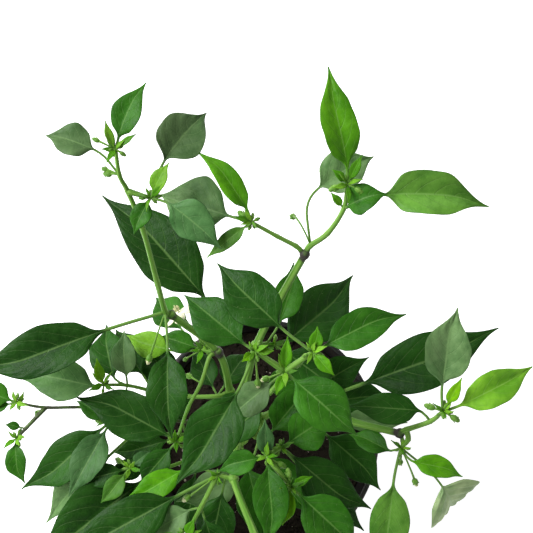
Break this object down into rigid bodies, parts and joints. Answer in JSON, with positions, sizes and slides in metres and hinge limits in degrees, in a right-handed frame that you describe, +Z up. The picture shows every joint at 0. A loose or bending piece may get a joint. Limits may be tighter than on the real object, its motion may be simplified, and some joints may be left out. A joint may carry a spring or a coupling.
{
  "type": "potted chilli pepper plant",
  "caption": "Round black nursery pot of soil with a forking chilli pepper plant: long-stalked pointed leaves on leafy shoots, hanging flower buds and an open white flower.",
  "frame": {"origin": "centre of the pot's underside, on its flat hub", "axes": "+Z up, along the pot's axis; +X to the right and +Y to the back, where the two tallest shoots lean"},
  "size_m": [0.3357, 0.3374, 0.3379],
  "materials": {
    "pot": "black moulded plastic, faint sheen",
    "soil": "dark crumbly peat",
    "stem": "pale green ridged stem",
    "leaf_dark": "mature leaf, dark green, satin",
    "leaf_green": "full-grown leaf, mid green, satin",
    "leaf_young": "young leaf, bright yellow-green, satin",
    "petal": "cream white petal",
    "anther": "pollen yellow"
  },
  "bodies": {
    "root": {"pot": "pot", "soil": "soil", "main_stem": "stem", "shoot_north_west": "leaf_young", "shoot_west_fork": "leaf_dark", "shoot_north": "leaf_young", "shoot_north_east": "leaf_young", "shoot_crown": "leaf_green", "shoot_east": "leaf_young", "shoot_east_low": "leaf_dark", "shoot_north_low": "leaf_dark", "shoot_middle": "leaf_green", "shoot_west": "leaf_green", "shoot_far_west": "leaf_green", "shoot_south_west": "leaf_dark", "shoot_hanging": "leaf_dark", "shoot_south_west_low": "leaf_dark", "shoot_south_side": "leaf_dark", "shoot_south_left": "leaf_green", "shoot_south_right": "leaf_green", "petals": "petal", "stamens": "anther"}
  },
  "joints": []
}
